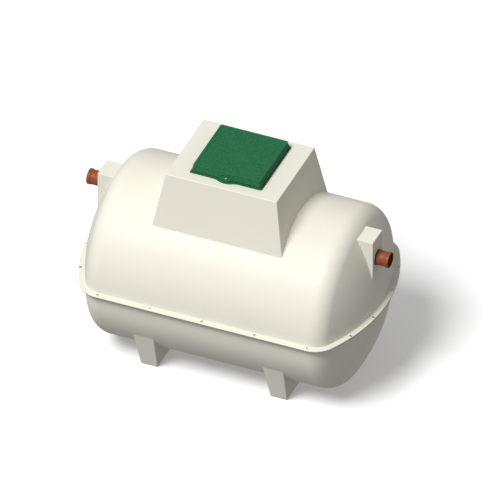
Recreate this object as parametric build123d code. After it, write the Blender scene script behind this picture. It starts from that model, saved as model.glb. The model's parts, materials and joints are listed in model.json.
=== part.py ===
from build123d import *
import math
import os

# Packaged sewage treatment plant: a horizontal tank in two bolted half shells, with a tapered
# access turret, a hinged cover, four moulded feet and an inlet and an outlet pipe stub.
# Millimetres, +Z up. X runs along the tank from inlet to outlet and the origin is on the ground
# under the middle of the tank.

# Tank shell
shell_radius = 730.0            # outside radius of the barrel
shell_length = 2343.0           # over the two domed ends
dish_radius = 1354.0            # outside radius of each dome
knuckle_radius = 153.0          # outside radius of the turn from barrel to dome
shell_wall = 8.0                # laminate thickness
ground_clearance = 12.0         # lowest line of the barrel above the ground

# Flange between the half shells
flange_width = 46.0
flange_thickness = 9.0
gasket_thickness = 3.0

# Feet
foot_end_inset = 634.5          # middle of each foot, in from the tip of the dome
foot_side_inset = 231.0         # outer edge at the ground, in from the side of the barrel
foot_width = 136.0              # at the ground, along X
foot_depth = 250.0              # at the ground, along Y
foot_outer_lean = 20.7          # degrees that the outer face leans outward going up
foot_side_lean = 2.8            # degrees that the two side faces lean outward going up

# Turret
turret_rise = 301.0             # flat top above the highest line of the barrel
turret_length = 922.0           # along X at the top
turret_width = 757.0            # along Y at the top
turret_draft = 9.6              # degrees
turret_wall = 8.0

# Segments of the barrel
bottom_edge_angle = 60.0        # degrees down from the flange to the edge of the bottom segment

# Pipe bosses and pipe stubs
boss_setback = 30.0             # upright face, in from the tip of the dome
boss_drop = 92.0                # boss top below the highest line of the barrel
boss_width = 188.0
boss_wall = 8.0
inlet_drop = 122.0              # middle of the inlet pipe below the boss top
outlet_drop = 193.0             # middle of the outlet pipe below the boss top
pipe_radius = 55.0              # outside radius of the pipe that plugs in, and of the stub
pipe_wall = 3.2
pipe_inside_length = 30.0       # run of the stub inside the boss
pipe_reach = 78.5               # open end of the stub beyond the tip of the dome
socket_depth = 52.0             # how far the plugged pipe goes in
socket_wall = 3.4
socket_clearance = 0.3          # between the plugged pipe and the socket, all round
seal_bead_radius = 63.0         # outside radius of the two beads that house the seals
seal_bead_length = 24.0

# Access cover
cover_center_y = 9.0
cover_frame_size = 600.0        # square flange on the turret
cover_frame_plate = 6.0
cover_opening = 500.0           # clear square way in
cover_collar_wall = 10.0
cover_spigot_drop = 30.0        # below the turret top
cover_spigot_clearance = 2.0
cover_height = 69.0             # lid top above the turret top
lid_size = 560.0                # square top of the lid
lid_step = 4.0                  # each skirt band stands out this far past the one above
lid_plate = 6.0
lid_skirt_wall = 6.0
lid_rib_height = 3.0
lid_rib_width = 44.0
lid_border_width = 22.0
lid_frame_gap = 6.0             # under the skirt
lid_band_height = 18.0
lid_seal_thickness = 4.0
lid_seal_gap = 0.3              # between the seal and the closed lid
lock_bump_width = 226.0
lock_bump_depth = 27.0
lock_tab_width = 170.0
lock_screw_head_radius = 9.0
lock_screw_head_height = 5.0
lock_screw_radius = 5.0
lock_point_gap = 1.0            # under the point of the screw, above the turret top
lock_hole_clearance = 1.5
corner_radius = 14.0            # plan corners of the frame and lid

# Cover hinges
hinge_side_inset = 108.0        # middle of each hinge, in from the side of the lid
hinge_pin_radius = 4.0
hinge_pin_clearance = 0.1
hinge_knuckle_radius = 9.0
hinge_knuckle_length = 40.0
hinge_lug_thickness = 14.0
hinge_side_gap = 1.0
hinge_lid_gap = 5.0             # between the lid's skirt and the frame's lugs
hinge_rise = 14.0               # pin centre above the frame's plate
hinge_tab_margin = 3.0

# Cutting tools
cut_margin = 1.0                # how far a tool runs past the faces that it cuts
reach = 4 * shell_length        # longer than the tank, for cutting blocks

# Worked out from the sizes above
axis_height = shell_radius + ground_clearance
barrel_top_z = axis_height + shell_radius
dome_tip_x = shell_length / 2
dish_center_x = dome_tip_x - dish_radius
knuckle_center_r = shell_radius - knuckle_radius
knuckle_center_span = math.sqrt((dish_radius - knuckle_radius) ** 2 - knuckle_center_r ** 2)
knuckle_center_x = dish_center_x + knuckle_center_span
knuckle_angle = math.atan2(knuckle_center_r, knuckle_center_span)
half_gasket = gasket_thickness / 2
foot_x = dome_tip_x - foot_end_inset
foot_outer_y = shell_radius - foot_side_inset
boss_face_x = dome_tip_x - boss_setback
boss_top_z = barrel_top_z - boss_drop
inlet_z = boss_top_z - inlet_drop
outlet_z = boss_top_z - outlet_drop
pipe_end_x = dome_tip_x + pipe_reach
turret_top_z = barrel_top_z + turret_rise

# Height above the tank's axis where the turret's front wall meets the barrel: the wall's line
# y = axis_y - rise * slope crosses the barrel's circle
turret_slope = math.tan(math.radians(turret_draft))
turret_axis_y = turret_width / 2 + (turret_top_z - axis_height) * turret_slope
line_factor = 1 + turret_slope ** 2
line_lean = turret_axis_y * turret_slope
line_root = math.sqrt(line_lean ** 2 - line_factor * (turret_axis_y ** 2 - shell_radius ** 2))
turret_foot_rise = (line_lean + line_root) / line_factor
crown_edge_angle = math.degrees(math.asin(turret_foot_rise / shell_radius))

# Levels and edges of the access cover
cover_plate_z = turret_top_z + cover_frame_plate
lid_bottom_z = cover_plate_z + lid_frame_gap
lid_top_z = turret_top_z + cover_height
lid_field_z = lid_top_z - lid_rib_height
lid_under_z = lid_field_z - lid_plate
lid_base_size = lid_size + 4 * lid_step
lid_mid_size = lid_size + 2 * lid_step
lid_front_y = cover_center_y - lid_base_size / 2
lid_back_y = cover_center_y + lid_base_size / 2
collar_size = cover_opening + 2 * cover_collar_wall
seal_top_z = lid_under_z - lid_seal_gap
collar_top_z = seal_top_z - lid_seal_thickness
frame_front_y = cover_center_y - cover_frame_size / 2
hinge_x = lid_base_size / 2 - hinge_side_inset
hinge_y = lid_back_y + hinge_lid_gap + hinge_knuckle_radius
hinge_z = cover_plate_z + hinge_rise
lock_screw_y = lid_front_y - lock_bump_depth / 2
tab_top_z = lid_bottom_z + lid_band_height


def block(x0, x1, y0, y1, z0, z1):
    """A box given by its low and high faces."""
    size = Box(x1 - x0, y1 - y0, z1 - z0)
    return Pos((x0 + x1) / 2, (y0 + y1) / 2, (z0 + z1) / 2) * size


def dome_point(angle, radius, offset):
    """Point on the dome or knuckle arc about the centre that belongs to radius."""
    if radius == dish_radius:
        center = (dish_center_x, 0)
    else:
        center = (knuckle_center_x, knuckle_center_r)
    length = radius + offset
    return (center[0] + length * math.cos(angle), center[1] + length * math.sin(angle))


def dome_edges(offset):
    """Knuckle and dome arcs from the barrel's edge to the apex, offset outward."""
    start = dome_point(math.pi / 2, knuckle_radius, offset)
    turn = dome_point((math.pi / 2 + knuckle_angle) / 2, knuckle_radius, offset)
    tangent = dome_point(knuckle_angle, knuckle_radius, offset)
    middle = dome_point(knuckle_angle / 2, dish_radius, offset)
    apex = dome_point(0, dish_radius, offset)
    return [ThreePointArc(start, turn, tangent), ThreePointArc(tangent, middle, apex)], start, apex


def tank_quarter(offset):
    """Quarter outline of the tank, from its middle to the outlet dome, offset outward."""
    arcs, start, apex = dome_edges(offset)
    floor = Line(apex, (0, 0))
    end = Line((0, 0), (0, start[1]))
    top = Line((0, start[1]), start)
    return make_face([*arcs, floor, end, top])


def tank_solid(offset):
    """The whole tank as one solid of revolution, offset outward from its outside surface."""
    body = revolve(Plane.XZ * tank_quarter(offset), Axis.X, 360)
    whole = body + mirror(body, Plane.YZ)
    return Pos(0, 0, axis_height) * whole


def end_shell():
    """The outlet end's full round dome with its knuckle, as a wall."""
    outer, outer_start, outer_apex = dome_edges(0)
    inner, inner_start, inner_apex = dome_edges(-shell_wall)
    rim = Line(inner_start, outer_start)
    tip = Line(outer_apex, inner_apex)
    profile = Plane.XZ * make_face([*outer, tip, *inner, rim])
    return Pos(0, 0, axis_height) * revolve(profile, Axis.X, 360)


def upper_half():
    return block(-reach, reach, -reach, reach, axis_height + half_gasket, axis_height + reach)


def lower_half():
    return block(-reach, reach, -reach, reach, axis_height - reach, axis_height - half_gasket)


def barrel_sector(start_angle, end_angle):
    """Barrel wall between two angles about the tank's axis, from +Y through +Z."""
    inner = shell_radius - shell_wall
    middle_angle = (start_angle + end_angle) / 2

    def at(radius, angle):
        turn = math.radians(angle)
        return (radius * math.cos(turn), radius * math.sin(turn))

    def arc(radius):
        return ThreePointArc(at(radius, start_angle), at(radius, middle_angle), at(radius, end_angle))

    start_edge = Line(at(inner, start_angle), at(shell_radius, start_angle))
    end_edge = Line(at(inner, end_angle), at(shell_radius, end_angle))
    section = Plane.YZ * make_face([arc(shell_radius), end_edge, arc(inner), start_edge])
    wall = extrude(section, knuckle_center_x, both=True)
    return Pos(0, 0, axis_height) * wall


def turret_solid(offset, top_z, extra_width=0):
    """Tapered turret block, its four sides offset outward, from inside the tank up to top_z."""
    low_z = axis_height + shell_radius / 2
    faces = []
    for z in (low_z, top_z):
        spread = (turret_top_z - z) * turret_slope + offset / math.cos(math.radians(turret_draft))
        size = Rectangle(turret_length + 2 * spread, turret_width + 2 * spread + extra_width)
        faces.append(Pos(0, 0, z) * size)
    return loft(faces, ruled=True)


def mitre_prism(side):
    """Plan wedge that takes one turret wall: front, back, inlet or outlet."""
    inward = turret_width / 2 - cut_margin
    outward = shell_radius
    x_in = turret_length / 2 - inward
    y_in = turret_width / 2 - inward
    x_out = turret_length / 2 + outward
    y_out = turret_width / 2 + outward
    if side in ("front", "back"):
        sign = -1 if side == "front" else 1
        points = [(-x_in, sign * y_in), (x_in, sign * y_in), (x_out, sign * y_out), (-x_out, sign * y_out)]
    else:
        sign = -1 if side == "inlet" else 1
        points = [(sign * x_in, -y_in), (sign * x_in, y_in), (sign * x_out, y_out), (sign * x_out, -y_out)]
    return extrude(make_face(Polyline(*points, close=True)), turret_top_z)


def boss_block(inset, depth_inset):
    """Block that a pipe boss is cut from, on the outlet end."""
    half = boss_width / 2 - inset
    low_z = axis_height + pipe_radius
    return block(knuckle_center_x, boss_face_x - depth_inset, -half, half, low_z, boss_top_z - inset)


def x_cylinder(radius, x0, x1, z):
    """Cylinder along X."""
    upright = Cylinder(radius, x1 - x0, align=(Align.CENTER, Align.CENTER, Align.MIN))
    return Pos(x0, 0, z) * (Rot(0, 90, 0) * upright)


def make_boss(pipe_z):
    """Hollow moulded boss with an upright face that a pipe stub passes through, outlet end."""
    walls = boss_block(0, 0) - boss_block(boss_wall, boss_wall)
    walls = walls - tank_solid(-shell_wall)
    return walls - x_cylinder(pipe_radius, knuckle_center_x, boss_face_x + boss_wall, pipe_z)


def make_pipe(pipe_z):
    """Pipe stub through the boss with a socket on it, a seal bead at each end, outlet end."""
    stub_start = boss_face_x - boss_wall - pipe_inside_length
    socket_bore = pipe_radius + socket_clearance
    outside = x_cylinder(pipe_radius, stub_start, pipe_end_x, pipe_z)
    outside += x_cylinder(socket_bore + socket_wall, boss_face_x, pipe_end_x, pipe_z)
    outside += x_cylinder(seal_bead_radius, boss_face_x, boss_face_x + seal_bead_length, pipe_z)
    outside += x_cylinder(seal_bead_radius, pipe_end_x - seal_bead_length, pipe_end_x, pipe_z)
    outside -= x_cylinder(pipe_radius - pipe_wall, stub_start - cut_margin, pipe_end_x + cut_margin, pipe_z)
    return outside - x_cylinder(socket_bore, pipe_end_x - socket_depth, pipe_end_x + cut_margin, pipe_z)


def flange_plate(z0, thickness):
    """Solid plate with the flanges' outside outline, above z0."""
    quarter = tank_quarter(flange_width)
    half = quarter + mirror(quarter, Plane.YZ)
    whole = half + mirror(half, Plane.XZ)
    return Pos(0, 0, z0) * extrude(whole, thickness)


def flange_parts(level, ring):
    """Cuts a flange ring into its front and back strips and its two end arcs."""
    top_z = axis_height + flange_width
    front = block(-knuckle_center_x, knuckle_center_x, -reach, 0, 0, top_z)
    back = block(-knuckle_center_x, knuckle_center_x, 0, reach, 0, top_z)
    outlet = block(knuckle_center_x, reach, -reach, reach, 0, top_z)
    inlet = block(-reach, -knuckle_center_x, -reach, reach, 0, top_z)
    return {
        level + "_front_flange": ring & front,
        level + "_back_flange": ring & back,
        level + "_outlet_flange": ring & outlet,
        level + "_inlet_flange": ring & inlet,
    }


def make_foot():
    """Front outlet foot: a tapered block under the barrel."""
    top_z = axis_height - shell_radius / 2
    inner_y = foot_outer_y - foot_depth
    faces = []
    for z in (0, top_z):
        half = foot_width / 2 + z * math.tan(math.radians(foot_side_lean))
        outer = foot_outer_y + z * math.tan(math.radians(foot_outer_lean))
        rectangle = Rectangle(2 * half, outer - inner_y)
        faces.append(Pos(foot_x, -(outer + inner_y) / 2, z) * rectangle)
    return loft(faces, ruled=True) - tank_solid(0)


def rounded_square(size, z0, z1):
    """Square prism with rounded upright edges, centred on the cover."""
    outline = RectangleRounded(size, size, corner_radius)
    return Pos(0, cover_center_y, z0) * extrude(outline, z1 - z0)


def square_hole(size, z0, z1):
    return block(-size / 2, size / 2, cover_center_y - size / 2, cover_center_y + size / 2, z0, z1)


def front_bulge(width, depth, edge_y, z0, z1):
    """Bulge that swells smoothly out of a front edge at edge_y and back into it."""
    half = width / 2
    edges = []
    for side in (-1, 1):
        middle = (side * half / 2, edge_y - depth / 2)
        edges.append(TangentArc((side * half, edge_y), middle, tangent=(-side, 0)))
        edges.append(TangentArc((0, edge_y - depth), middle, tangent=(side, 0)))
    inner = edge_y + corner_radius
    edges.append(Polyline((half, edge_y), (half, inner), (-half, inner), (-half, edge_y)))
    return Pos(0, 0, z0) * extrude(make_face(edges), z1 - z0)


def z_cylinder(radius, y, z0, z1):
    """Upright cylinder on the plane of symmetry."""
    return Pos(0, y, z0) * Cylinder(radius, z1 - z0, align=(Align.CENTER, Align.CENTER, Align.MIN))


def make_cover_frame():
    """Frame plate on the turret with the collar and spigot of the way in."""
    plate = rounded_square(cover_frame_size, turret_top_z, cover_plate_z)
    plate += front_bulge(lock_bump_width, lock_bump_depth, frame_front_y, turret_top_z, cover_plate_z)
    tab_half = hinge_half_length() + hinge_tab_margin
    tab_back = hinge_y + hinge_knuckle_radius + hinge_tab_margin
    for x in (-hinge_x, hinge_x):
        plate += block(x - tab_half, x + tab_half, cover_center_y, tab_back, turret_top_z, cover_plate_z)
    plate += square_hole(collar_size, turret_top_z - cover_spigot_drop, collar_top_z)
    screw_hole = lock_screw_radius + lock_hole_clearance
    plate -= z_cylinder(screw_hole, lock_screw_y, turret_top_z - cut_margin, cover_plate_z + cut_margin)
    return plate - square_hole(cover_opening, turret_top_z - reach, turret_top_z + reach)


def make_lid_seal():
    """Square rubber seal on the collar's top edge."""
    ring = square_hole(collar_size, collar_top_z, seal_top_z)
    return ring - square_hole(cover_opening, collar_top_z - cut_margin, lid_top_z)


def hinge_cylinder(radius, x0, x1):
    """Cylinder about the line of the hinge pins."""
    return Pos(0, hinge_y, 0) * x_cylinder(radius, x0, x1, hinge_z)


def hinge_half_length():
    """Half of one hinge along X: half a knuckle, the gap beside it and one lug."""
    return hinge_knuckle_length / 2 + hinge_side_gap + hinge_lug_thickness


def make_hinge_lugs():
    """Two lugs for each hinge, standing on the frame plate."""
    low_y = hinge_y - hinge_knuckle_radius
    high_y = hinge_y + hinge_knuckle_radius
    far = hinge_half_length()
    near = far - hinge_lug_thickness
    lugs = []
    for x in (-hinge_x, hinge_x):
        for x0 in (x - far, x + near):
            x1 = x0 + hinge_lug_thickness
            lug = block(x0, x1, low_y, high_y, cover_plate_z, hinge_z)
            lug += hinge_cylinder(hinge_knuckle_radius, x0, x1)
            lugs.append(lug - hinge_cylinder(hinge_pin_radius, x0 - cut_margin, x1 + cut_margin))
    return lugs


def make_hinge_knuckles():
    """One knuckle for each hinge, on an arm from the lid's back skirt."""
    half_arm = hinge_knuckle_radius / 2
    hole = hinge_pin_radius + hinge_pin_clearance
    knuckles = []
    for x in (-hinge_x, hinge_x):
        x0 = x - hinge_knuckle_length / 2
        x1 = x + hinge_knuckle_length / 2
        knuckle = block(x0, x1, lid_back_y, hinge_y, hinge_z - half_arm, hinge_z + half_arm)
        knuckle += hinge_cylinder(hinge_knuckle_radius, x0, x1)
        knuckles.append(knuckle - hinge_cylinder(hole, x0 - cut_margin, x1 + cut_margin))
    return knuckles


def make_hinge_pins():
    """One steel pin for each hinge, flush with the outer faces of the lugs."""
    half = hinge_half_length()
    return [hinge_cylinder(hinge_pin_radius, x - half, x + half) for x in (-hinge_x, hinge_x)]


def make_lid():
    """Lid: stepped skirt, flat top with a raised border and diagonal ribs, and a lock tab."""
    body = rounded_square(lid_base_size, lid_bottom_z, tab_top_z)
    body += front_bulge(lock_tab_width, lock_bump_depth, lid_front_y, lid_bottom_z, tab_top_z)
    body += rounded_square(lid_mid_size, tab_top_z, tab_top_z + lid_band_height)
    body += rounded_square(lid_size, tab_top_z + lid_band_height, lid_top_z)
    body -= lid_field()
    inner_size = lid_size - 2 * lid_skirt_wall
    body -= square_hole(inner_size, lid_bottom_z - cut_margin, lid_under_z)
    return body - z_cylinder(lock_screw_radius, lock_screw_y, lid_bottom_z - cut_margin, lid_top_z)


def lid_field():
    """The four shallow triangles between the lid's border and its diagonal ribs, as a cutter."""
    field = square_hole(lid_size - 2 * lid_border_width, lid_field_z, lid_top_z + cut_margin)
    diagonal = math.hypot(lid_size, lid_size)
    for angle in (45, -45):
        rib = Box(diagonal, lid_rib_width, reach)
        field -= Pos(0, cover_center_y, lid_top_z) * (Rot(0, 0, angle) * rib)
    return field


def make_lock_screw():
    """Lock screw: round head on the tab and a shank into the frame plate."""
    screw = z_cylinder(lock_screw_radius, lock_screw_y, turret_top_z + lock_point_gap, tab_top_z)
    head_top = tab_top_z + lock_screw_head_height
    return screw + z_cylinder(lock_screw_head_radius, lock_screw_y, tab_top_z, head_top)


def make_shell_parts():
    """Barrel segments and domed ends of both half shells."""
    upper = upper_half()
    lower = lower_half()
    dome = end_shell()
    front = (barrel_sector(180 - crown_edge_angle, 180) & upper) - turret_solid(0, turret_top_z)
    crown = barrel_sector(crown_edge_angle, 180 - crown_edge_angle)
    crown -= turret_solid(0, turret_top_z, shell_radius)
    lower_front = barrel_sector(180, 180 + bottom_edge_angle) & lower
    upper_end = (dome & upper) - boss_block(0, 0)
    lower_end = dome & lower
    return {
        "upper_front_wall": front,
        "upper_back_wall": mirror(front, Plane.XZ),
        "upper_inlet_crown": crown & block(-reach, 0, -reach, reach, 0, reach),
        "upper_outlet_crown": crown & block(0, reach, -reach, reach, 0, reach),
        "upper_inlet_end": mirror(upper_end, Plane.YZ),
        "upper_outlet_end": upper_end,
        "lower_front_wall": lower_front,
        "lower_back_wall": mirror(lower_front, Plane.XZ),
        "lower_bottom_wall": barrel_sector(180 + bottom_edge_angle, 360 - bottom_edge_angle),
        "lower_inlet_end": mirror(lower_end, Plane.YZ),
        "lower_outlet_end": lower_end,
    }


def make_flange_parts():
    """Both flange rings, each in four pieces, with the gasket between them."""
    outside = tank_solid(0)
    upper_ring = flange_plate(axis_height + half_gasket, flange_thickness) - outside
    lower_ring = flange_plate(axis_height - half_gasket - flange_thickness, flange_thickness) - outside
    gasket = flange_plate(axis_height - half_gasket, gasket_thickness) - tank_solid(-shell_wall)
    return {
        **flange_parts("upper", upper_ring),
        **flange_parts("lower", lower_ring),
        "flange_gasket": gasket,
    }


def make_turret_parts():
    """Four mitred turret walls and the flat turret top with its square way in."""
    roof_z = turret_top_z - turret_wall
    walls = turret_solid(0, roof_z) - turret_solid(-turret_wall, roof_z)
    walls = walls - tank_solid(-shell_wall)
    parts = {}
    for side in ("front", "back", "inlet", "outlet"):
        parts["turret_" + side + "_wall"] = walls & mitre_prism(side)
    roof = turret_solid(0, turret_top_z) & block(-reach, reach, -reach, reach, roof_z, turret_top_z)
    hole = collar_size + 2 * cover_spigot_clearance
    parts["turret_top"] = roof - square_hole(hole, roof_z - cut_margin, turret_top_z + cut_margin)
    return parts


def make_pipe_parts():
    """Bosses and pipe stubs of both ends."""
    return {
        "inlet_boss": mirror(make_boss(inlet_z), Plane.YZ),
        "outlet_boss": make_boss(outlet_z),
        "inlet_pipe": mirror(make_pipe(inlet_z), Plane.YZ),
        "outlet_pipe": make_pipe(outlet_z),
    }


def make_feet():
    foot = make_foot()
    back_foot = mirror(foot, Plane.XZ)
    return {
        "front_outlet_foot": foot,
        "front_inlet_foot": mirror(foot, Plane.YZ),
        "back_outlet_foot": back_foot,
        "back_inlet_foot": mirror(back_foot, Plane.YZ),
    }


def make_cover_parts():
    """Frame, seal, hinges, lid and lock screw of the access cover."""
    return {
        "cover_frame": make_cover_frame(),
        "cover_seal": make_lid_seal(),
        "frame_hinge_lugs": make_hinge_lugs(),
        "hinge_pins": make_hinge_pins(),
        "lid": make_lid(),
        "lid_hinge_knuckles": make_hinge_knuckles(),
        "lock_screw": make_lock_screw(),
    }


def solids_of(shape):
    if isinstance(shape, (list, tuple)):
        found = []
        for piece in shape:
            found.extend(solids_of(piece))
        return found
    return list(shape.solids())


def main():
    parts = {}
    parts.update(make_shell_parts())
    parts.update(make_flange_parts())
    parts.update(make_turret_parts())
    parts.update(make_pipe_parts())
    parts.update(make_feet())
    parts.update(make_cover_parts())
    os.makedirs("parts", exist_ok=True)
    for name, shape in parts.items():
        solids = solids_of(shape)
        piece = solids[0] if len(solids) == 1 else Compound(children=solids)
        export_step(piece, "parts/" + name + ".step")
        print(name, len(solids))


main()
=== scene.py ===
import json
import math

import bmesh
import bpy
from mathutils import Matrix, Vector


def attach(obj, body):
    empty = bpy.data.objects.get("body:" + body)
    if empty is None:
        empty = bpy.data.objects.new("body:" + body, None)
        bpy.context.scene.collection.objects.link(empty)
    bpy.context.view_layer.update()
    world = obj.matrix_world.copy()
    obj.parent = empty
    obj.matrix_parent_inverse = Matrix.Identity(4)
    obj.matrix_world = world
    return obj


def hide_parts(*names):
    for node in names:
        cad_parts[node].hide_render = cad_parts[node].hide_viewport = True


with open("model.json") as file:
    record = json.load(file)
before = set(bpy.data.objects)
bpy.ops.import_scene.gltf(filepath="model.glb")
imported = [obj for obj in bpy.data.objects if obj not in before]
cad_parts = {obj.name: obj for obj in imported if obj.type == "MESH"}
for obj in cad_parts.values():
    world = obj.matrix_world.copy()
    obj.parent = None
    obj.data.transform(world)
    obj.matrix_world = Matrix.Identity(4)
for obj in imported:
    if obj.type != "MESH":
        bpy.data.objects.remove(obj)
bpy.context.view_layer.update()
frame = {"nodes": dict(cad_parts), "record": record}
nodes = frame["nodes"]

# The view: parallel, turned from the front towards the outlet end and looking down.
METRES_PER_PIXEL = 0.007651
IMAGE_PIXELS = 500
VIEW_TURN = math.radians(22.49)
VIEW_DIP = math.radians(37.16)
VIEW_ROLL = math.radians(0.29)
AIM_POINT = Vector((0.0, 0.0, 1.770))
AIM_LEFT = 9.9
AIM_UP = 89.0
CAMERA_DISTANCE = 12.0

# The light: one broad sun from the upper front left, and a white surround that is a little
# brighter towards the slant.
SUN_FROM = Vector((-0.217, -0.540, 0.813))
SUN_STRENGTH = 3.37
SUN_SPREAD = math.radians(24.0)
SURROUND = 0.388
SURROUND_SLANT = Vector((-0.07, 0.05, 0.0))
FLOOR_HALF = 30.0
FLOOR_WHITE = 0.807
FLOOR_GLOW = 0.16

# Sizes that the added surfaces share with the frame, in metres.
AXIS_Z = 0.742
SHELL_RADIUS = 0.730
SHELL_WALL = 0.008
DOME_TIP = 1.1715
DISH_RADIUS = 1.354
KNUCKLE_RADIUS = 0.153
FLANGE_TOP = 0.7525
FLANGE_BOTTOM = 0.7315
FLANGE_WIDTH = 0.046
FLANGE_THICKNESS = 0.009
FLANGE_SETBACK = 0.006
TURRET_TOP = 1.773
TURRET_LENGTH = 0.922
TURRET_WIDTH = 0.757
TURRET_SLOPE = math.tan(math.radians(9.6))
TURRET_HOLE = 0.524
BOSS_FACE = 1.1415
BOSS_WIDTH = 0.188
BOSS_TOP = 1.380
PIPE_RADIUS = 0.055
PIPE_END = 1.250
PIPE_HEIGHTS = {"inlet": 1.258, "outlet": 1.187}
FOOT_X = 0.537
FOOT_WIDTH = 0.136
FOOT_OUTER = 0.499
FOOT_INNER = 0.249
FOOT_SIDE_SLOPE = math.tan(math.radians(2.8))
FOOT_TOP = 0.360
BARREL_HALF_AT_FOOT_TOP = math.sqrt(SHELL_RADIUS ** 2 - (AXIS_Z - FOOT_TOP) ** 2)
FOOT_OUTER_SLOPE = (BARREL_HALF_AT_FOOT_TOP - FOOT_OUTER) / FOOT_TOP
COVER_Y = 0.009
LOCK_Y = -0.2925
LOCK_HOLE_RADIUS = 0.005
FRAME_HOLE_RADIUS = 0.0065
BUMP_DEPTH = 0.027
FRAME_BUMP_HALF = 0.113
LID_TAB_HALF = 0.085
TAB_RISE = 0.030
FIELD_RISE = 0.066

# Rounding of the moulded edges and of the inside corners between the mouldings.
TURRET_ROUNDING = 0.006
BOSS_ROUNDING = 0.004
FOOT_ROUNDING = 0.004
FLANGE_ROUNDING = 0.005
TURRET_COVE = 0.005
BOSS_COVE = 0.005
FOOT_COVE = 0.006
FLANGE_COVE = 0.003

# How far a cove's edges and its back lie under the surfaces that it joins, how far a foot and a
# flange reach into the shell, and how far a cutter reaches past the piece that it cuts.
COVE_EDGE_SINK = 0.0004
COVE_BACK_SINK = 0.0015
FOOT_SINK = 0.001
FLANGE_SINK = 0.001
CUT_MARGIN = 0.01
HOLE_MARGIN = 0.1

# Edges that rise by more than this, or end that far above a block's bottom, count as not level or
# not at the bottom. Places closer than the second value are the same.
EDGE_MARGIN = 0.01
TINY = 1e-6

# Points in the hollows of the turret and the outlet boss. Faces that look at them are bare laminate.
TURRET_MIDDLE = (0.0, 0.0, 1.5)
BOSS_MIDDLE = (1.05, 0.0, 1.2)

# How finely the curves are divided. The middle of the cover's front edge, where a bump may be, has
# its own steps on each side.
TANK_SEGMENTS = 240
ROUND_STEPS = 4
CORNER_STEPS = 8
COVER_FRONT_HALF = 0.120
COVER_FRONT_STEPS = 24
TURRET_COVE_STEPS = 40
BOSS_COVE_STEPS = 16
FOOT_COVE_STEPS = 12

# Places of the bolts round the flange, in one quarter, and the turn from bolt to bolt in radians.
BOLT_LINE_Y = 0.753
BOLT_ROW_X = (0.0, 0.436, 0.867)
BOLT_END_PLACES = ((1.1195, 0.478), (1.1885, 0.193))
BOLT_TURN = 0.7


# Materials

def srgb(red, green, blue):
    """Linear colour from sRGB values of 0 to 255."""
    found = []
    for value in (red, green, blue):
        share = value / 255
        found.append(share / 12.92 if share <= 0.04045 else ((share + 0.055) / 1.055) ** 2.4)
    return tuple(found)


def plain(name, color, roughness, metallic=0.0, specular=0.5):
    """A material of one linear colour."""
    material = bpy.data.materials.new(name)
    material.use_nodes = True
    shader = material.node_tree.nodes["Principled BSDF"]
    shader.inputs["Base Color"].default_value = (*color, 1)
    shader.inputs["Roughness"].default_value = roughness
    shader.inputs["Metallic"].default_value = metallic
    shader.inputs["Specular IOR Level"].default_value = specular
    return material


def noise_of(material, scale, detail, stretch=(1, 1, 1)):
    """A noise pattern fixed to the object, as the socket of its value."""
    tree = material.node_tree
    place = tree.nodes.new("ShaderNodeTexCoord")
    mapping = tree.nodes.new("ShaderNodeMapping")
    mapping.inputs["Scale"].default_value = stretch
    noise = tree.nodes.new("ShaderNodeTexNoise")
    noise.inputs["Scale"].default_value = scale
    noise.inputs["Detail"].default_value = detail
    tree.links.new(place.outputs["Object"], mapping.inputs["Vector"])
    tree.links.new(mapping.outputs["Vector"], noise.inputs["Vector"])
    return noise.outputs["Fac"]


def vary_color(material, color, amount, scale, detail=3.0):
    """Lets the base colour drift by amount either way, in soft patches."""
    tree = material.node_tree
    ramp = tree.nodes.new("ShaderNodeValToRGB")
    for stop, place, share in zip(ramp.color_ramp.elements, (0.3, 0.7), (1 - amount, 1 + amount)):
        stop.position = place
        stop.color = (*[c * share for c in color], 1)
    tree.links.new(noise_of(material, scale, detail), ramp.inputs["Fac"])
    tree.links.new(ramp.outputs["Color"], tree.nodes["Principled BSDF"].inputs["Base Color"])


def roughen(material, scale, depth, detail=2.0, stretch=(1, 1, 1)):
    """Fine relief, depth metres deep."""
    tree = material.node_tree
    bump = tree.nodes.new("ShaderNodeBump")
    bump.inputs["Distance"].default_value = depth
    bump.inputs["Strength"].default_value = 1.0
    tree.links.new(noise_of(material, scale, detail, stretch), bump.inputs["Height"])
    tree.links.new(bump.outputs["Normal"], tree.nodes["Principled BSDF"].inputs["Normal"])


def make_finishes():
    """The material of each slot."""
    cream = srgb(217, 214, 201)
    gel_coat = plain("cream_gel_coat", cream, roughness=0.5, specular=0.3)
    vary_color(gel_coat, cream, amount=0.012, scale=2.3)
    roughen(gel_coat, scale=30.0, depth=0.0002)

    straw = srgb(192, 184, 156)
    laminate = plain("bare_laminate", straw, roughness=0.6)
    vary_color(laminate, straw, amount=0.10, scale=38.0, detail=6.0)
    roughen(laminate, scale=60.0, depth=0.0012, detail=5.0, stretch=(1, 1, 0.25))

    leaf = srgb(37, 98, 64)
    green = plain("green_moulding", leaf, roughness=0.40, specular=0.08)
    vary_color(green, leaf, amount=0.22, scale=70.0, detail=2.0)
    roughen(green, scale=420.0, depth=0.0004)

    brick = (0.242, 0.056, 0.020)
    orange = plain("orange_pipe", brick, roughness=0.5, specular=0.3)
    vary_color(orange, brick, amount=0.08, scale=30.0)

    rubber = plain("black_rubber", (0.036, 0.024, 0.018), roughness=0.75)
    zinc = plain("zinc_steel", (0.58, 0.58, 0.56), roughness=0.38, metallic=1.0)
    return {
        "cream_laminate": gel_coat,
        "bare_laminate": laminate,
        "green_plastic": green,
        "orange_plastic": orange,
        "black_rubber": rubber,
        "zinc_steel": zinc,
    }


# Meshes

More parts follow.
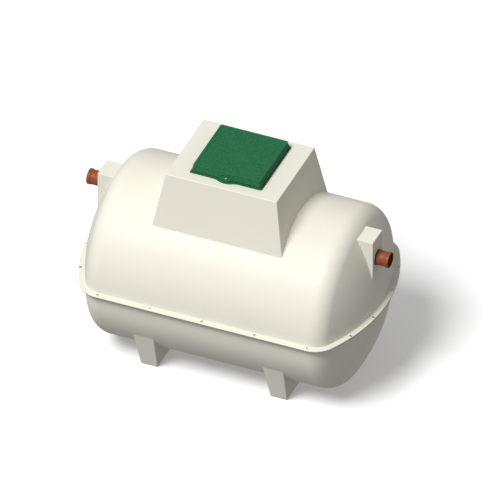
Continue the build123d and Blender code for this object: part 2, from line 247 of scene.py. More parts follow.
def mesh_object(name, vertices, faces):
    """A new object with a mesh whose faces all look outward."""
    mesh = bpy.data.meshes.new(name)
    mesh.from_pydata([tuple(v) for v in vertices], [], faces)
    work = bmesh.new()
    work.from_mesh(mesh)
    bmesh.ops.recalc_face_normals(work, faces=work.faces)
    work.to_mesh(mesh)
    work.free()
    piece = bpy.data.objects.new(name, mesh)
    bpy.context.scene.collection.objects.link(piece)
    return piece


def joined(parts):
    """One list of vertices and one of faces from several."""
    vertices, faces = [], []
    for part_vertices, part_faces in parts:
        first = len(vertices)
        vertices += list(part_vertices)
        faces += [tuple(first + i for i in face) for face in part_faces]
    return vertices, faces


def moved(part, matrix):
    """A copy of (vertices, faces), put in place by a matrix."""
    vertices, faces = part
    return [matrix @ Vector(v) for v in vertices], faces


def mirrored_x(part):
    return [(-v[0], v[1], v[2]) for v in part[0]], part[1]


def mirrored_y(part):
    return [(v[0], -v[1], v[2]) for v in part[0]], part[1]


def taken_from(piece):
    """The vertices and faces of a piece, which is removed."""
    vertices = [tuple(v.co) for v in piece.data.vertices]
    faces = [tuple(p.vertices) for p in piece.data.polygons]
    bpy.data.objects.remove(piece)
    return vertices, faces


def strips(first, second, count):
    """Quads between two closed rings of count vertices that start at first and second."""
    quads = []
    for i in range(count):
        after = (i + 1) % count
        quads.append((first + i, first + after, second + after, second + i))
    return quads


def skin(rings, closed=False):
    """Surface through rings of one count. The last is joined to the first, or both ends are capped."""
    count = len(rings[0])
    vertices = [point for ring in rings for point in ring]
    faces = []
    for k in range(len(rings) - 1):
        faces += strips(k * count, (k + 1) * count, count)
    last = (len(rings) - 1) * count
    if closed:
        faces += strips(last, 0, count)
    else:
        faces.append(tuple(reversed(range(count))))
        faces.append(tuple(range(last, last + count)))
    return vertices, faces


def turned(profile, segments, closed=False):
    """Solid of revolution about Z from (radius, height) points, or a ring if closed."""
    angles = [2 * math.pi * i / segments for i in range(segments)]
    rings = [[(r * math.cos(a), r * math.sin(a), height) for a in angles] for r, height in profile]
    return skin(rings, closed=closed)


def tapered_block(low, low_z, high, high_z):
    """Block whose level ends are rectangles (x0, x1, y0, y1)."""
    corners = []
    for (x0, x1, y0, y1), z in ((low, low_z), (high, high_z)):
        corners += [(x0, y0, z), (x1, y0, z), (x1, y1, z), (x0, y1, z)]
    faces = [(3, 2, 1, 0), (4, 5, 6, 7), (0, 1, 5, 4), (1, 2, 6, 5), (2, 3, 7, 6), (3, 0, 4, 7)]
    return corners, faces


def round_edges(piece, radius, wanted):
    """Rounds the edges for which wanted(one end, other end) is true."""
    work = bmesh.new()
    work.from_mesh(piece.data)
    edges = [e for e in work.edges if wanted(e.verts[0].co, e.verts[1].co)]
    bmesh.ops.bevel(
        work, geom=edges, offset=radius, offset_type="OFFSET", segments=3, profile=0.5, affect="EDGES"
    )
    work.to_mesh(piece.data)
    work.free()


def cut_away(piece, cutter):
    """Takes the cutter's volume out of the piece and removes the cutter."""
    modifier = piece.modifiers.new("cut", "BOOLEAN")
    modifier.operation = "DIFFERENCE"
    modifier.solver = "EXACT"
    modifier.object = cutter
    bpy.context.view_layer.update()
    graph = bpy.context.evaluated_depsgraph_get()
    mesh = bpy.data.meshes.new_from_object(piece.evaluated_get(graph))
    piece.modifiers.clear()
    piece.data = mesh
    bpy.data.objects.remove(cutter)


def finish_piece(piece, slot, body="tank", stands_for=(), sharp=40.0, even=False, middle=None):
    """Gives a piece its finish, shading and body. Faces that look at middle are bare laminate."""
    mesh = piece.data
    mesh.materials.clear()
    mesh.materials.append(finishes[slot])
    if middle:
        mesh.materials.append(finishes["bare_laminate"])
        for face in mesh.polygons:
            face.material_index = 1 if face.normal.dot(face.center - Vector(middle)) < 0 else 0
    mesh.shade_smooth()
    mesh.set_sharp_from_angle(angle=math.radians(sharp))
    if even:
        normals = piece.modifiers.new("even_normals", "WEIGHTED_NORMAL")
        normals.keep_sharp = True
    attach(piece, body)
    if stands_for:
        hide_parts(*stands_for)


# The tank's surface

DISH_X = DOME_TIP - DISH_RADIUS
KNUCKLE_R = SHELL_RADIUS - KNUCKLE_RADIUS
KNUCKLE_X = DISH_X + math.sqrt((DISH_RADIUS - KNUCKLE_RADIUS) ** 2 - KNUCKLE_R ** 2)
KNUCKLE_ANGLE = math.atan2(KNUCKLE_R, KNUCKLE_X - DISH_X)
KNUCKLE_EDGE_R = KNUCKLE_R + KNUCKLE_RADIUS * math.sin(KNUCKLE_ANGLE)


def dome_profile(offset, steps=20):
    """(x, distance from the axis) from the barrel's edge to the tip of the outlet dome."""
    points = []
    for i in range(steps + 1):
        angle = math.pi / 2 + (KNUCKLE_ANGLE - math.pi / 2) * i / steps
        radius = KNUCKLE_RADIUS + offset
        points.append((KNUCKLE_X + radius * math.cos(angle), KNUCKLE_R + radius * math.sin(angle)))
    for i in range(1, steps + 1):
        angle = KNUCKLE_ANGLE * (1 - i / steps)
        radius = DISH_RADIUS + offset
        points.append((DISH_X + radius * math.cos(angle), radius * math.sin(angle)))
    return points


def dome_x(radius):
    """Where the outlet dome's outside is, at a distance from the axis."""
    if radius > KNUCKLE_EDGE_R:
        return KNUCKLE_X + math.sqrt(KNUCKLE_RADIUS ** 2 - (radius - KNUCKLE_R) ** 2)
    return DISH_X + math.sqrt(DISH_RADIUS ** 2 - radius ** 2)


def dome_normal(point):
    """Outward normal at a point on the outlet dome or its knuckle."""
    x, y, z = point
    rise = z - AXIS_Z
    radius = math.hypot(y, rise)
    if radius > KNUCKLE_EDGE_R:
        along, out = x - KNUCKLE_X, radius - KNUCKLE_R
    else:
        along, out = x - DISH_X, radius
    return Vector((along, out * y / radius, out * rise / radius)).normalized()


def barrel_normal(point):
    """Outward normal at a point on the barrel."""
    return Vector((0, point[1], point[2] - AXIS_Z)).normalized()


def tank_cutter(offset):
    """The whole tank as a solid, offset outward."""
    half = dome_profile(offset)[:-1]
    profile = [(-x, r) for x, r in reversed(half)] + half
    angles = [2 * math.pi * i / TANK_SEGMENTS for i in range(TANK_SEGMENTS)]
    rings = [[(x, r * math.cos(a), AXIS_Z + r * math.sin(a)) for a in angles] for x, r in profile]
    return mesh_object("tank_cutter", *skin(rings))


def plan_outline(spacing=0.03):
    """Points round the tank at the height of its axis, anticlockwise from above."""
    quarter = dome_profile(0.0, steps=16)
    flat = round(2 * KNUCKLE_X / spacing)
    side = [(KNUCKLE_X * (1 - 2 * i / flat), SHELL_RADIUS) for i in range(1, flat)]
    outlet = [(x, -r) for x, r in quarter] + [(x, r) for x, r in reversed(quarter[:-1])]
    half = outlet + side
    return half + [(-x, -y) for x, y in half]


# Coves: the small hollow curve where one surface of a moulding meets another

def cove_frames(run, wall_normal, closed):
    """Each point of a run with both normals and the directions along the shell and up the wall."""
    frames = []
    count = len(run)
    for i, (point, normal) in enumerate(run):
        before = run[(i - 1) % count if closed else max(i - 1, 0)][0]
        after = run[(i + 1) % count if closed else min(i + 1, count - 1)][0]
        tangent = (after - before).normalized()
        along = tangent.cross(normal).normalized()
        along *= 1 if along.dot(wall_normal) > 0 else -1
        up = tangent.cross(wall_normal).normalized()
        up *= 1 if up.dot(normal) > 0 else -1
        frames.append((point, normal, wall_normal, along, up))
    return frames


def corner_frame(last, first):
    """The mitred frame where one run ends and the next begins."""
    point, normal, wall_a, along_a, up_a = last
    wall_b, along_b = first[2], first[3]
    along = (along_a + along_b) / (1 + along_a.dot(along_b))
    edge = wall_a.cross(wall_b).normalized()
    edge *= 1 if edge.dot(normal) > 0 else -1
    return point, normal, (wall_a + wall_b).normalized(), along, edge / edge.dot(up_a)


def cove(runs, size):
    """Closed bead with a hollow face along runs of (points with normals, wall normal)."""
    closed = len(runs) == 1
    framed = [cove_frames(run, wall, closed) for run, wall in runs]
    frames = []
    for k, run in enumerate(framed):
        if closed:
            frames += run
        else:
            frames.append(corner_frame(framed[k - 1][-1], run[0]))
            frames += run[1:-1]
    rings = []
    for point, normal, wall_normal, along, up in frames:
        start = point + size * along - COVE_EDGE_SINK * normal
        end = point + size * up - COVE_EDGE_SINK * wall_normal
        ring = []
        for step in range(ROUND_STEPS + 1):
            s = step / ROUND_STEPS
            ring.append((1 - s) ** 2 * start + 2 * s * (1 - s) * point + s ** 2 * end)
        ring.append(point - COVE_BACK_SINK * (normal + wall_normal))
        rings.append(ring)
    return skin(rings, closed=True)


def run_between(start, end, steps, place, normal_at):
    """Points with normals: place(t) for t from start to end."""
    points = [Vector(place(start + (end - start) * i / steps)) for i in range(steps + 1)]
    return [(point, normal_at(point)) for point in points]


# The turret

def turret_half_sizes(z, offset=0.0):
    """Half length and half width of the turret at a height, offset outward."""
    spread = (TURRET_TOP - z) * TURRET_SLOPE + offset * math.hypot(1, TURRET_SLOPE)
    return TURRET_LENGTH / 2 + spread, TURRET_WIDTH / 2 + spread


def turret_block(low_z, high_z, offset):
    """The turret between two heights as a solid block, offset outward."""
    low_x, low_y = turret_half_sizes(low_z, offset)
    high_x, high_y = turret_half_sizes(high_z, offset)
    low = (-low_x, low_x, -low_y, low_y)
    high = (-high_x, high_x, -high_y, high_y)
    return tapered_block(low, low_z, high, high_z)


def make_turret():
    """The hollow turret with its opening, standing on the shell."""
    low_z = AXIS_Z + SHELL_RADIUS / 2
    turret = mesh_object("turret_moulding", *turret_block(low_z, TURRET_TOP, 0.0))
    round_edges(turret, TURRET_ROUNDING, lambda a, b: max(a.z, b.z) > low_z + EDGE_MARGIN)
    roof_z = TURRET_TOP - SHELL_WALL
    cut_away(turret, mesh_object("hollow", *turret_block(low_z - CUT_MARGIN, roof_z, -SHELL_WALL)))
    half = TURRET_HOLE / 2
    hole = (-half, half, COVER_Y - half, COVER_Y + half)
    opening = tapered_block(hole, roof_z - HOLE_MARGIN, hole, TURRET_TOP + HOLE_MARGIN)
    cut_away(turret, mesh_object("opening", *opening))
    cut_away(turret, tank_cutter(-SHELL_WALL))
    parts = ["turret_" + side + "_wall" for side in ("front", "back", "inlet", "outlet")]
    parts.append("turret_top")
    finish_piece(turret, "cream_laminate", stands_for=parts, even=True, middle=TURRET_MIDDLE)


def turret_foot():
    """Distance of the turret's front foot from the middle, and its height."""
    axis_y = turret_half_sizes(AXIS_Z)[1]
    factor = 1 + TURRET_SLOPE ** 2
    lean = axis_y * TURRET_SLOPE
    rise = (lean + math.sqrt(lean ** 2 - factor * (axis_y ** 2 - SHELL_RADIUS ** 2))) / factor
    return axis_y - rise * TURRET_SLOPE, AXIS_Z + rise


def make_turret_cove():
    """Cove round the turret, where it meets the barrel."""
    foot_y, foot_z = turret_foot()
    foot_x = turret_half_sizes(foot_z)[0]

    def on_end(y):
        z = AXIS_Z + math.sqrt(SHELL_RADIUS ** 2 - y ** 2)
        return turret_half_sizes(z)[0], y, z

    def on_front(x):
        return x, -foot_y, foot_z

    front = run_between(-foot_x, foot_x, TURRET_COVE_STEPS, on_front, barrel_normal)
    outlet = run_between(-foot_y, foot_y, TURRET_COVE_STEPS, on_end, barrel_normal)
    half_turn = Matrix.Diagonal((-1, -1, 1))
    back = [(half_turn @ point, half_turn @ normal) for point, normal in front]
    inlet = [(half_turn @ point, half_turn @ normal) for point, normal in outlet]
    runs = [
        (front, Vector((0, -1, TURRET_SLOPE)).normalized()),
        (outlet, Vector((1, 0, TURRET_SLOPE)).normalized()),
        (back, Vector((0, 1, TURRET_SLOPE)).normalized()),
        (inlet, Vector((-1, 0, TURRET_SLOPE)).normalized()),
    ]
    finish_piece(mesh_object("turret_cove", *cove(runs, TURRET_COVE)), "cream_laminate", sharp=60.0)


# The pipe bosses

def boss_cove():
    """Cove round the outlet boss, where it meets the dome."""
    half = BOSS_WIDTH / 2
    face_r = math.sqrt(DISH_RADIUS ** 2 - (BOSS_FACE - DISH_X) ** 2)
    foot_z = AXIS_Z + math.sqrt(face_r ** 2 - half ** 2)

    def on_dome(y, z):
        return dome_x(math.hypot(y, z - AXIS_Z)), y, z

    def on_face(y):
        return BOSS_FACE, y, AXIS_Z + math.sqrt(face_r ** 2 - y ** 2)

    steps = BOSS_COVE_STEPS
    bottom = run_between(-half, half, steps, on_face, dome_normal)
    back = run_between(foot_z, BOSS_TOP, steps, lambda z: on_dome(half, z), dome_normal)
    top = run_between(half, -half, steps, lambda y: on_dome(y, BOSS_TOP), dome_normal)
    front = run_between(BOSS_TOP, foot_z, steps, lambda z: on_dome(-half, z), dome_normal)
    walls = [Vector((1, 0, 0)), Vector((0, 1, 0)), Vector((0, 0, 1)), Vector((0, -1, 0))]
    return cove(list(zip([bottom, back, top, front], walls)), BOSS_COVE)


def make_boss(end):
    """The hollow boss of one end with its pipe hole, and its cove."""
    sign = -1 if end == "inlet" else 1
    half = BOSS_WIDTH / 2
    low_z = AXIS_Z + PIPE_RADIUS
    near, far = sorted((sign * KNUCKLE_X, sign * BOSS_FACE))
    outside = (near, far, -half, half)
    boss = mesh_object(end + "_boss_moulding", *tapered_block(outside, low_z, outside, BOSS_TOP))

    def shows(a, b):
        level = (a.z + b.z) / 2
        on_face = min(abs(a.x), abs(b.x)) > BOSS_FACE - TINY
        return level > low_z + EDGE_MARGIN and (on_face or level > BOSS_TOP - TINY)

    round_edges(boss, BOSS_ROUNDING, shows)
    wall = SHELL_WALL
    near, far = sorted((sign * (KNUCKLE_X - wall), sign * (BOSS_FACE - wall)))
    inside = (near, far, -half + wall, half - wall)
    hollow = tapered_block(inside, low_z - wall, inside, BOSS_TOP - wall)
    cut_away(boss, mesh_object("hollow", *hollow))
    cut_away(boss, tank_cutter(-wall))
    drill = turned([(PIPE_RADIUS, 0.0), (PIPE_RADIUS, 2 * DOME_TIP)], segments=64)
    cut_away(boss, mesh_object("drill", *moved(drill, pipe_place(end))))
    middle = (sign * BOSS_MIDDLE[0], BOSS_MIDDLE[1], BOSS_MIDDLE[2])
    finish_piece(boss, "cream_laminate", stands_for=[end + "_boss"], even=True, middle=middle)
    ring = boss_cove() if end == "outlet" else mirrored_x(boss_cove())
    finish_piece(mesh_object(end + "_boss_cove", *ring), "cream_laminate", sharp=60.0)


# The feet

def foot_halves(z):
    """Half width of a foot at a height, and how far its outer face is from the middle."""
    return FOOT_WIDTH / 2 + z * FOOT_SIDE_SLOPE, FOOT_OUTER + z * FOOT_OUTER_SLOPE


def foot_cove():
    """Cove round the top of the front outlet foot, under the barrel."""
    factor = 1 + FOOT_OUTER_SLOPE ** 2
    lean = FOOT_OUTER_SLOPE * FOOT_OUTER - AXIS_Z
    root = math.sqrt(lean ** 2 - factor * (FOOT_OUTER ** 2 + AXIS_Z ** 2 - SHELL_RADIUS ** 2))
    outer_y = foot_halves((-lean - root) / factor)[1]

    def under(y, side):
        z = AXIS_Z - math.sqrt(SHELL_RADIUS ** 2 - y ** 2)
        return FOOT_X + side * foot_halves(z)[0], y, z

    steps = FOOT_COVE_STEPS
    left = run_between(-FOOT_INNER, -outer_y, steps, lambda y: under(y, -1), barrel_normal)
    front = run_between(-1, 1, steps, lambda side: under(-outer_y, side), barrel_normal)
    right = run_between(-outer_y, -FOOT_INNER, steps, lambda y: under(y, 1), barrel_normal)
    back = run_between(1, -1, steps, lambda side: under(-FOOT_INNER, side), barrel_normal)
    runs = [
        (left, Vector((-1, 0, -FOOT_SIDE_SLOPE)).normalized()),
        (front, Vector((0, -1, -FOOT_OUTER_SLOPE)).normalized()),
        (right, Vector((1, 0, -FOOT_SIDE_SLOPE)).normalized()),
        (back, Vector((0, 1, 0))),
    ]
    return cove(runs, FOOT_COVE)


def make_feet():
    """The front outlet foot with its cove, and its mirror images."""
    ends = []
    for z in (0.0, FOOT_TOP):
        half, outer = foot_halves(z)
        ends.append((FOOT_X - half, FOOT_X + half, -outer, -FOOT_INNER))
    foot = mesh_object("foot", *tapered_block(ends[0], 0.0, ends[1], FOOT_TOP))
    round_edges(foot, FOOT_ROUNDING, lambda a, b: abs(a.z - b.z) > EDGE_MARGIN)
    round_edges(foot, FOOT_ROUNDING / 2, lambda a, b: max(a.z, b.z) < TINY)
    cut_away(foot, tank_cutter(-FOOT_SINK))
    shape = taken_from(foot)
    ring = foot_cove()
    for name, flips in {
        "front_outlet": (),
        "front_inlet": (mirrored_x,),
        "back_outlet": (mirrored_y,),
        "back_inlet": (mirrored_x, mirrored_y),
    }.items():
        block, bead = shape, ring
        for flip in flips:
            block, bead = flip(block), flip(bead)
        piece = mesh_object(name + "_foot_moulding", *block)
        finish_piece(piece, "cream_laminate", stands_for=[name + "_foot"], even=True)
        finish_piece(mesh_object(name + "_foot_cove", *bead), "cream_laminate", sharp=60.0)


# The flange

def flange_run(z):
    """The tank's outline at a height, with its outward normals."""
    outline = plan_outline()
    run = []
    for i, (x, y) in enumerate(outline):
        before, after = outline[i - 1], outline[(i + 1) % len(outline)]
        normal = Vector((after[1] - before[1], before[0] - after[0], 0)).normalized()
        run.append((Vector((x, y, z)), normal))
    return run


def make_flanges():
    """A flange round each half, with its outer edge rounded, and its cove."""
    up = Vector((0, 0, 1))
    for name, root_z, facing, width in (
        ("upper", FLANGE_TOP, 1, FLANGE_WIDTH),
        ("lower", FLANGE_BOTTOM, -1, FLANGE_WIDTH - FLANGE_SETBACK),
    ):
        run = flange_run(root_z)
        r = FLANGE_ROUNDING
        profile = [(-FLANGE_SINK, 0.0)]
        for step in range(ROUND_STEPS + 1):
            angle = math.pi / 2 * step / ROUND_STEPS
            profile.append((width - r + r * math.sin(angle), r * math.cos(angle) - r))
        profile += [(width, -FLANGE_THICKNESS), (-FLANGE_SINK, -FLANGE_THICKNESS)]
        rings = []
        for point, normal in run:
            rings.append([point + out * normal + rise * facing * up for out, rise in profile])
        ring = mesh_object(name + "_flange_moulding", *skin(rings, closed=True))
        sides = [f"{name}_{side}_flange" for side in ("front", "back", "inlet", "outlet")]
        finish_piece(ring, "cream_laminate", stands_for=sides, sharp=50.0)
        bead = cove([(run, facing * up)], FLANGE_COVE)
        finish_piece(mesh_object(name + "_flange_cove", *bead), "cream_laminate", sharp=60.0)


def bolt_parts():
    """Bolt and nut with a washer under each, about Z, from the tank's axis height.

    The sections are (radius, distance from the flange's face) in millimetres.
    """
    up, down = FLANGE_TOP - AXIS_Z, FLANGE_BOTTOM - AXIS_Z
    washer = [(9.8, 0), (10.5, 0.4), (10.5, 1.4), (10.1, 1.8)]
    head = [(8.6, 1.8), (9.2, 2.4), (9.2, 7.4), (8.0, 8.4)]
    nut = [(8.0, 1.8), (9.2, 2.8), (9.2, 9.0), (8.0, 10.0)]
    thread = [(5.0, -1.0), (5.0, 12.4), (4.0, 13.4)]

    def at(profile, start, direction):
        return [(r / 1000, start + direction * h / 1000) for r, h in profile]

    return [
        turned(at(washer, up, 1), segments=20),
        turned(at(head, up, 1), segments=6),
        turned(at(washer, down, -1), segments=20),
        turned(at(nut, down, -1), segments=6),
        turned(at(thread, down, -1), segments=12),
    ]


def make_bolts():
    """All bolts as one piece, each turned a little further than the one before."""
    quarter = [(x, BOLT_LINE_Y) for x in BOLT_ROW_X] + list(BOLT_END_PLACES)
    places = {(sx * x, sy * y) for x, y in quarter for sx in (-1, 1) for sy in (-1, 1)}
    parts = []
    for k, (x, y) in enumerate(sorted(places)):
        place = Matrix.Translation((x, y, AXIS_Z)) @ Matrix.Rotation(BOLT_TURN * k, 4, "Z")
        parts += [moved(part, place) for part in bolt_parts()]
    finish_piece(mesh_object("flange_bolts", *joined(parts)), "zinc_steel", sharp=30.0)


# The pipe stubs

def pipe_place(end):
    """Stands a shape made about Z on the pipe's axis, pointing out of the tank."""
    sign = -1 if end == "inlet" else 1
    aim = Vector((sign, 0, 0)).to_track_quat("Z", "Y").to_matrix().to_4x4()
    return Matrix.Translation((0, 0, PIPE_HEIGHTS[end])) @ aim


def make_pipes():
    """Socket of each pipe stub, turned, with rubber rings in its seal groove and against the boss. The
    black of the ring against the boss is painted shade where the boss shades the pipe.

    The sections are (radius, distance back from the pipe's end) in millimetres.
    """
    tube = [
        (51.8, 138.5), (54.2, 138.5), (55, 137.7), (55, 98),
        (61.5, 98), (63, 96.5), (63, 90.5), (62.2, 88.6), (60, 87), (58.7, 85),
        (58.7, 28), (60, 26), (62.2, 24.4), (63, 22.5), (63, 3), (62.2, 0.8), (60.6, 0),
        (58, 0), (56.6, 0.8), (55.3, 4), (55.3, 9), (60.2, 9), (60.2, 19), (55.3, 19),
        (55.3, 51), (51.8, 54),
    ]
    seal = [(60, 18.8), (60, 9.2), (56.6, 9.6), (54.3, 12.5), (54.6, 16), (57, 18.4)]
    # The ring against the boss is black rubber, and its black is painted shade next to the boss.
    collar = [(54.9, 108.5), (62, 108.5), (63, 107.5), (63, 99.8), (62, 98.8), (54.9, 98.8)]
    for end in PIPE_HEIGHTS:
        for name, slot, section in (
            ("_pipe_socket", "orange_plastic", tube),
            ("_pipe_seal", "black_rubber", seal),
            ("_boss_ring_painted_shade", "black_rubber", collar),
        ):
            profile = [(radius / 1000, PIPE_END - back / 1000) for radius, back in section]
            ring = turned(profile, segments=72, closed=True)
            piece = mesh_object(end + name, *moved(ring, pipe_place(end)))
            stands_for = [end + "_pipe"] if section is tube else ()
            finish_piece(piece, slot, stands_for=stands_for)


# The cover

def swell(x, half, depth):
    """How far a smooth bump stands out, x from its middle: arcs that meet halfway."""
    from_foot = half - abs(x)
    if from_foot <= 0:
        return 0.0
    radius = (half ** 2 / 4 + depth ** 2 / 4) / depth
    if from_foot < half / 2:
        return radius - math.sqrt(radius ** 2 - from_foot ** 2)
    return depth - radius + math.sqrt(radius ** 2 - x ** 2)


def cover_ring(half, corner, rise, bump_half=0.0, bump_depth=0.0):
    """Rounded square about the cover's centre, above the turret's top, with any bump in its front."""
    inner = half - corner
    z = TURRET_TOP + rise

    def arc(cx, cy, start):
        angles = [math.radians(start + 90 * i / CORNER_STEPS) for i in range(CORNER_STEPS + 1)]
        return [(cx + corner * math.cos(a), COVER_Y + cy + corner * math.sin(a), z) for a in angles]

    front = []
    for i in range(2 * COVER_FRONT_STEPS + 1):
        x = COVER_FRONT_HALF * (i / COVER_FRONT_STEPS - 1)
        bump = swell(x, bump_half, bump_depth) if bump_depth else 0.0
        front.append((x, COVER_Y - half - bump, z))
    right = arc(inner, -inner, 270) + arc(inner, inner, 0)
    return arc(-inner, -inner, 180) + front + right + arc(-inner, inner, 90)


def lid_body():
    """Stepped skirt, top border and the flat field inside it, as one closed skin.

    Each row is (half width, corner radius, rise), and the lowest step has the tab in its front.
    """
    tab = (LID_TAB_HALF, BUMP_DEPTH)
    inside = [
        (0.2720, 0.0120, 0.0600), (0.2740, 0.0140, 0.0580),
        (0.2740, 0.0140, 0.0135), (0.2755, 0.0155, 0.0120),
    ]
    low_step = [
        (0.2862, 0.0122, 0.0120, *tab), (0.2876, 0.0136, 0.0124, *tab), (0.2880, 0.0140, 0.0138, *tab),
        (0.2880, 0.0140, 0.0278, *tab), (0.2875, 0.0135, 0.0293, *tab), (0.2860, 0.0120, 0.0300, *tab),
    ]
    middle_step = [
        (0.2846, 0.0146, 0.0300), (0.2840, 0.0140, 0.0306), (0.2840, 0.0140, 0.0460),
        (0.2835, 0.0135, 0.0474), (0.2822, 0.0122, 0.0480),
    ]
    top_step = [
        (0.2806, 0.0146, 0.0480), (0.2800, 0.0140, 0.0486), (0.2800, 0.0140, 0.0645),
        (0.2793, 0.0133, 0.0672), (0.2778, 0.0118, 0.0686), (0.2755, 0.0095, 0.0690),
    ]
    field_edge = [(0.2598, 0.0060, 0.0690), (0.2586, 0.0055, 0.0684), (0.2574, 0.0050, FIELD_RISE)]
    profile = inside + low_step + middle_step + top_step + field_edge
    return skin([cover_ring(*row) for row in profile])


def lid_ribs():
    """Two raised ribs that cross from corner to corner."""
    reach = 0.2588
    widest = 0.0311
    rings = []
    for narrower, rise in ((0.0, 0.0650), (0.0, 0.0664), (0.0020, 0.0674), (0.0050, 0.0678)):
        width = widest - narrower
        arm = [(width, 0), (reach, reach - width), (reach, reach), (reach - width, reach)]
        ring = []
        for c, s in ((1, 0), (0, 1), (-1, 0), (0, -1)):
            ring += [(c * x - s * y, COVER_Y + s * x + c * y, TURRET_TOP + rise) for x, y in arm]
        rings.append(ring)
    return skin(rings)


def lid_treads():
    """Short raised bars, turned by turns one way and the other, on the four triangles of the field."""
    spacing = 0.0205
    reach = 0.243
    rib_clearance = 0.032
    low = (-0.0085, 0.0085, -0.0026, 0.0026)
    high = (-0.0072, 0.0072, -0.0013, 0.0013)
    sunk, height = -0.0005, 0.0016
    bar = tapered_block(low, sunk, high, height)
    count = int(reach / spacing) + 1
    parts = []
    for i in range(-count, count + 1):
        for j in range(-count, count + 1):
            x, y = i * spacing, j * spacing
            from_ribs = abs(abs(x) - abs(y)) / math.sqrt(2)
            if max(abs(x), abs(y)) < reach and from_ribs > rib_clearance:
                turn = Matrix.Rotation(math.radians(45 if (i + j) % 2 else -45), 4, "Z")
                place = Matrix.Translation((x, COVER_Y + y, TURRET_TOP + FIELD_RISE))
                parts.append(moved(bar, place @ turn))
    return joined(parts)


def at_lock(part):
    """Moves a shape made about Z to the lock screw's axis, from the turret's top."""
    return moved(part, Matrix.Translation((0, LOCK_Y, TURRET_TOP)))


def lock_drill(radius, low, high):
    """Cutter for the lock screw's hole, between two rises."""
    return mesh_object("drill", *at_lock(turned([(radius, low), (radius, high)], segments=32)))


def make_lid():
    """The lid with its ribs and treads."""
    lid = mesh_object("lid", *lid_body())
    cut_away(lid, lock_drill(LOCK_HOLE_RADIUS, 0.0, TAB_RISE + CUT_MARGIN))
    lid = mesh_object("lid_moulding", *joined([taken_from(lid), lid_ribs(), lid_treads()]))
    finish_piece(lid, "green_plastic", body="cover_lid", stands_for=["lid"], sharp=35.0)


def make_cover_frame():
    """The frame's plate and collar, and the plate's two tabs under the hinge lugs.

    Each row is (half width, corner radius, rise), and the plate has the bump in its front.
    """
    bump = (FRAME_BUMP_HALF, BUMP_DEPTH)
    outer_edge = [
        (0.2600, 0.0100, 0.0000), (0.2985, 0.0125, 0.0000, *bump), (0.3000, 0.0140, 0.0008, *bump),
        (0.3000, 0.0140, 0.0042, *bump), (0.2994, 0.0134, 0.0055, *bump), (0.2980, 0.0120, 0.0060, *bump),
    ]
    collar = [
        (0.2630, 0.0130, 0.0060), (0.2608, 0.0108, 0.0068), (0.2600, 0.0100, 0.0090),
        (0.2600, 0.0100, 0.0557), (0.2500, 0.0040, 0.0557),
        (0.2500, 0.0040, -0.0300), (0.2600, 0.0100, -0.0300),
    ]
    rings = [cover_ring(*row) for row in outer_edge + collar]
    plate = mesh_object("plate", *skin(rings, closed=True))
    cut_away(plate, lock_drill(FRAME_HOLE_RADIUS, -CUT_MARGIN, CUT_MARGIN))
    tab_half, tab_front, tab_back, tab_thickness = 0.038, 0.290, 0.323, 0.0059
    tabs = []
    for x in (-0.180, 0.180):
        rectangle = (x - tab_half, x + tab_half, tab_front, tab_back)
        tabs.append(tapered_block(rectangle, TURRET_TOP, rectangle, TURRET_TOP + tab_thickness))
    plate = mesh_object("cover_frame_moulding", *joined([taken_from(plate), *tabs]))
    finish_piece(plate, "green_plastic", stands_for=["cover_frame"], sharp=35.0)


def make_lock_screw():
    """The lock screw with its six-sided socket, from (radius, height above the tab) in millimetres."""
    profile = [
        (3.8, -29.0), (5.0, -27.8), (5.0, 0), (8.8, 0), (9.0, 0.3),
        (9.0, 3.4), (8.5, 4.6), (7.4, 5.0), (0.1, 5.0),
    ]
    place = Matrix.Translation((0, 0, TAB_RISE)) @ Matrix.Scale(0.001, 4)
    screw = mesh_object("lock_screw_turned", *at_lock(moved(turned(profile, segments=40), place)))
    socket = turned([(4.8, 1.6), (4.8, 10.0)], segments=6)
    cut_away(screw, mesh_object("socket", *at_lock(moved(socket, place))))
    finish_piece(screw, "zinc_steel", body="cover_lid", stands_for=["lock_screw"], sharp=30.0)


# The frame's own nodes

def paint_nodes():
    """Gives each node of the frame its finish, and bare laminate to the inside of the tank."""
    inward_limit = -0.3
    for row in frame["record"]["subparts"]:
        mesh = nodes[row["node"]].data
        mesh.materials.clear()
        mesh.materials.append(finishes[row["material_slot"]])
        if row["node"].startswith(("upper_", "lower_")) and not row["node"].endswith("_flange"):
            mesh.materials.append(finishes["bare_laminate"])
            for face in mesh.polygons:
                x, y, z = face.center
                outward = Vector((0, y, z - AXIS_Z))
                if abs(x) > KNUCKLE_X:
                    outward.x = x - math.copysign(KNUCKLE_X / 2, x)
                inward = face.normal.dot(outward.normalized()) < inward_limit
                face.material_index = 1 if inward else 0


# The stage

def make_camera():
    """The photo's parallel view."""
    right = Vector((math.cos(VIEW_TURN), math.sin(VIEW_TURN), 0))
    back = Vector((
        math.sin(VIEW_TURN) * math.cos(VIEW_DIP),
        -math.cos(VIEW_TURN) * math.cos(VIEW_DIP),
        math.sin(VIEW_DIP),
    ))
    up = back.cross(right)
    camera_right = math.cos(VIEW_ROLL) * right + math.sin(VIEW_ROLL) * up
    camera_up = back.cross(camera_right)
    data = bpy.data.cameras.new("camera")
    data.type = "ORTHO"
    data.ortho_scale = IMAGE_PIXELS * METRES_PER_PIXEL
    camera = bpy.data.objects.new("camera", data)
    bpy.context.scene.collection.objects.link(camera)
    place = AIM_POINT + AIM_LEFT * METRES_PER_PIXEL * camera_right
    place -= AIM_UP * METRES_PER_PIXEL * camera_up
    place += CAMERA_DISTANCE * back
    turn = Matrix((camera_right, camera_up, back)).transposed().to_4x4()
    camera.matrix_world = Matrix.Translation(place) @ turn
    bpy.context.scene.camera = camera


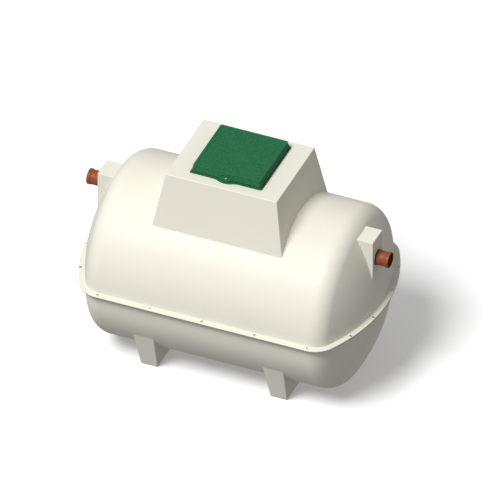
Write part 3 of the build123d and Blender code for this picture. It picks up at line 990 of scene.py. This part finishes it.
def make_surround():
    """The white surround, slightly brighter towards the slant and darker away from it."""
    world = bpy.data.worlds.new("surround")
    world.use_nodes = True
    tree = world.node_tree
    place = tree.nodes.new("ShaderNodeTexCoord")
    along = tree.nodes.new("ShaderNodeVectorMath")
    along.operation = "DOT_PRODUCT"
    along.inputs[1].default_value = SURROUND * SURROUND_SLANT
    total = tree.nodes.new("ShaderNodeMath")
    total.operation = "ADD"
    total.inputs[1].default_value = SURROUND
    shader = tree.nodes["Background"]
    shader.inputs["Color"].default_value = (1, 1, 1, 1)
    tree.links.new(place.outputs["Generated"], along.inputs[0])
    tree.links.new(along.outputs["Value"], total.inputs[0])
    tree.links.new(total.outputs["Value"], shader.inputs["Strength"])
    return world


def make_light():
    """The sun and the surround."""
    data = bpy.data.lights.new("sun", "SUN")
    data.energy = SUN_STRENGTH
    data.angle = SUN_SPREAD
    sun = bpy.data.objects.new("sun", data)
    sun.rotation_mode = "QUATERNION"
    sun.rotation_quaternion = SUN_FROM.to_track_quat("Z", "Y")
    bpy.context.scene.collection.objects.link(sun)
    bpy.context.scene.world = make_surround()
    bpy.context.scene.view_settings.view_transform = "Standard"


def make_floor():
    """White floor that shows shadows but throws no light back on the object."""
    white = plain("floor_white", (FLOOR_WHITE, FLOOR_WHITE, FLOOR_WHITE), roughness=1.0, specular=0.0)
    shader = white.node_tree.nodes["Principled BSDF"]
    shader.inputs["Emission Color"].default_value = (1, 1, 1, 1)
    shader.inputs["Emission Strength"].default_value = FLOOR_GLOW
    half = FLOOR_HALF
    corners = [(-half, -half, 0), (half, -half, 0), (half, half, 0), (-half, half, 0)]
    floor = mesh_object("floor", corners, [(0, 1, 2, 3)])
    floor.data.materials.append(white)
    floor.visible_diffuse = False
    floor.visible_glossy = False


finishes = make_finishes()
paint_nodes()
make_turret()
make_turret_cove()
make_boss("inlet")
make_boss("outlet")
make_feet()
make_flanges()
make_bolts()
make_pipes()
make_cover_frame()
make_lid()
make_lock_screw()
make_camera()
make_light()
make_floor()
